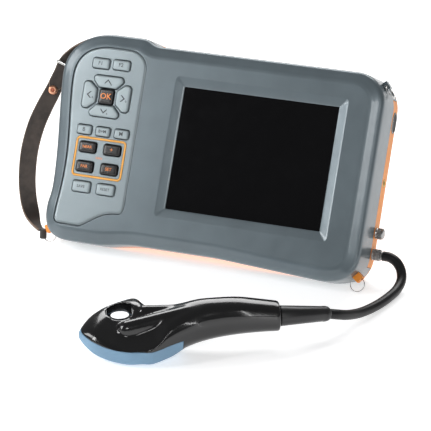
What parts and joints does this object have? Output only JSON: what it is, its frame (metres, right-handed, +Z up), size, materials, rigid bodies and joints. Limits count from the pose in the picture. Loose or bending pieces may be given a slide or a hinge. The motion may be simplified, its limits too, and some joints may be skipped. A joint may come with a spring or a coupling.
{
  "type": "veterinary ultrasound scanner",
  "caption": "Portable ultrasound scanner leaning on a rear stand, with a keypad, a display, a hand strap and a rectal transducer on a cable.",
  "frame": {"origin": "on the flat under the rear shell that the scanner stands on, in the middle of its bottom edge", "axes": "+Z up, +X along the scanner's width to the socket side, -Y the way the display faces"},
  "size_m": [0.2972, 0.2879, 0.1431],
  "materials": {
    "grey_plastic": "fine satin texture",
    "panel_plastic": "smooth satin membrane",
    "orange_plastic": "satin",
    "grey_key": "soft silicone",
    "black_key": "satin",
    "screen_glass": "gloss over a dark display",
    "black_plastic": "high gloss",
    "blue_sole": "satin rubbery sole",
    "rubber": "smooth",
    "nickel": "nickel plated",
    "steel": "zinc plated",
    "brass": "turned",
    "copper": "brushed copper",
    "leather": "worn, fine grain",
    "circuit_board": "solder mask",
    "battery_case": "shrink wrap"
  },
  "bodies": {
    "scanner": {"front_shell": "grey_plastic", "rear_shell": "orange_plastic", "case_screw_1": "steel", "case_screw_2": "steel", "case_screw_3": "steel", "case_screw_4": "steel", "keypad_panel": "panel_plastic", "accent_frame": "orange_plastic", "keypad_membrane": "rubber", "keypad_board": "circuit_board", "screen_glass": "screen_glass", "display_module": "steel", "main_board": "circuit_board", "battery_pack": "battery_case", "probe_socket": "nickel", "aux_socket": "nickel", "probe_plug": "nickel", "dc_jack": "brass", "hand_strap": "leather", "strap_tail": "leather", "strap_buckle": "nickel", "strap_snap": "copper", "stand_pin": "steel", "probe_shell": "black_plastic", "probe_lens": "blue_sole", "probe_array": "steel", "probe_strain_relief": "rubber", "cable": "rubber", "strap_lug_bottom_right": "orange_plastic", "strap_lug_bottom_left": "orange_plastic", "ring_bottom_left": "nickel", "strap_lug_top_right": "grey_plastic", "strap_lug_top_left": "grey_plastic"},
    "key_top_left": {"key_top_left": "grey_key"},
    "key_top_right": {"key_top_right": "grey_key"},
    "key_up": {"key_up": "grey_key"},
    "key_left": {"key_left": "grey_key"},
    "key_right": {"key_right": "grey_key"},
    "key_down": {"key_down": "grey_key"},
    "key_ok": {"key_ok": "black_key"},
    "key_upper_1": {"key_upper_1": "grey_key"},
    "key_upper_2": {"key_upper_2": "grey_key"},
    "key_upper_3": {"key_upper_3": "grey_key"},
    "key_black_1": {"key_black_1": "black_key"},
    "key_black_2": {"key_black_2": "black_key"},
    "key_black_3": {"key_black_3": "black_key"},
    "key_black_4": {"key_black_4": "black_key"},
    "key_lower_1": {"key_lower_1": "grey_key"},
    "key_lower_2": {"key_lower_2": "grey_key"},
    "power_button": {"power_button": "rubber"},
    "battery_door": {"battery_door": "orange_plastic"},
    "aux_cap": {"aux_cap": "nickel"},
    "plug_ring": {"plug_ring": "nickel"},
    "stand": {"stand": "grey_plastic", "stand_foot": "rubber"},
    "ring_bottom_right": {"ring_bottom_right": "nickel"},
    "ring_top_right": {"ring_top_right": "nickel"}
  },
  "joints": [
    {"name": "key_top_left_press", "type": "slide", "parent": "scanner", "child": "key_top_left", "axis": [0, 0.9063, -0.4226], "range_m": [0, 0.001], "stiffness_N_per_m": 300},
    {"name": "key_top_right_press", "type": "slide", "parent": "scanner", "child": "key_top_right", "axis": [0, 0.9063, -0.4226], "range_m": [0, 0.001], "stiffness_N_per_m": 300},
    {"name": "key_up_press", "type": "slide", "parent": "scanner", "child": "key_up", "axis": [0, 0.9063, -0.4226], "range_m": [0, 0.001], "stiffness_N_per_m": 300},
    {"name": "key_left_press", "type": "slide", "parent": "scanner", "child": "key_left", "axis": [0, 0.9063, -0.4226], "range_m": [0, 0.001], "stiffness_N_per_m": 300},
    {"name": "key_right_press", "type": "slide", "parent": "scanner", "child": "key_right", "axis": [0, 0.9063, -0.4226], "range_m": [0, 0.001], "stiffness_N_per_m": 300},
    {"name": "key_down_press", "type": "slide", "parent": "scanner", "child": "key_down", "axis": [0, 0.9063, -0.4226], "range_m": [0, 0.001], "stiffness_N_per_m": 300},
    {"name": "key_ok_press", "type": "slide", "parent": "scanner", "child": "key_ok", "axis": [0, 0.9063, -0.4226], "range_m": [0, 0.001], "stiffness_N_per_m": 300},
    {"name": "key_upper_1_press", "type": "slide", "parent": "scanner", "child": "key_upper_1", "axis": [0, 0.9063, -0.4226], "range_m": [0, 0.001], "stiffness_N_per_m": 300},
    {"name": "key_upper_2_press", "type": "slide", "parent": "scanner", "child": "key_upper_2", "axis": [0, 0.9063, -0.4226], "range_m": [0, 0.001], "stiffness_N_per_m": 300},
    {"name": "key_upper_3_press", "type": "slide", "parent": "scanner", "child": "key_upper_3", "axis": [0, 0.9063, -0.4226], "range_m": [0, 0.001], "stiffness_N_per_m": 300},
    {"name": "key_black_1_press", "type": "slide", "parent": "scanner", "child": "key_black_1", "axis": [0, 0.9063, -0.4226], "range_m": [0, 0.001], "stiffness_N_per_m": 300},
    {"name": "key_black_2_press", "type": "slide", "parent": "scanner", "child": "key_black_2", "axis": [0, 0.9063, -0.4226], "range_m": [0, 0.001], "stiffness_N_per_m": 300},
    {"name": "key_black_3_press", "type": "slide", "parent": "scanner", "child": "key_black_3", "axis": [0, 0.9063, -0.4226], "range_m": [0, 0.001], "stiffness_N_per_m": 300},
    {"name": "key_black_4_press", "type": "slide", "parent": "scanner", "child": "key_black_4", "axis": [0, 0.9063, -0.4226], "range_m": [0, 0.001], "stiffness_N_per_m": 300},
    {"name": "key_lower_1_press", "type": "slide", "parent": "scanner", "child": "key_lower_1", "axis": [0, 0.9063, -0.4226], "range_m": [0, 0.001], "stiffness_N_per_m": 300},
    {"name": "key_lower_2_press", "type": "slide", "parent": "scanner", "child": "key_lower_2", "axis": [0, 0.9063, -0.4226], "range_m": [0, 0.001], "stiffness_N_per_m": 300},
    {"name": "power_button_press", "type": "slide", "parent": "scanner", "child": "power_button", "axis": [-1, 0, 0], "range_m": [0, 0.0008], "stiffness_N_per_m": 300},
    {"name": "battery_door_pull", "type": "slide", "parent": "scanner", "child": "battery_door", "axis": [0, 0.9063, -0.4226], "range_m": [0, 0.012]},
    {"name": "aux_cap_pull", "type": "slide", "parent": "scanner", "child": "aux_cap", "axis": [1, 0, 0], "range_m": [0, 0.008]},
    {"name": "plug_ring_turn", "type": "hinge", "parent": "scanner", "child": "plug_ring", "pos_m": [0.121, 0.00152, 0.01856], "axis": [1, 0, 0], "range_deg": [0, 90]},
    {"name": "stand_hinge", "type": "hinge", "parent": "scanner", "child": "stand", "pos_m": [0, 0.05162, 0.09925], "axis": [1, 0, 0], "range_deg": [-42, 0]},
    {"name": "ring_bottom_right_swing", "type": "hinge", "parent": "scanner", "child": "ring_bottom_right", "pos_m": [0.1169, -0.01969, 0.00903], "axis": [-1, 0, 0], "range_deg": [0, 20]},
    {"name": "ring_top_right_swing", "type": "hinge", "parent": "scanner", "child": "ring_top_right", "pos_m": [0.115, 0.0363, 0.12912], "axis": [0, -0.9063, 0.4226], "range_deg": [0, 20]}
  ]
}
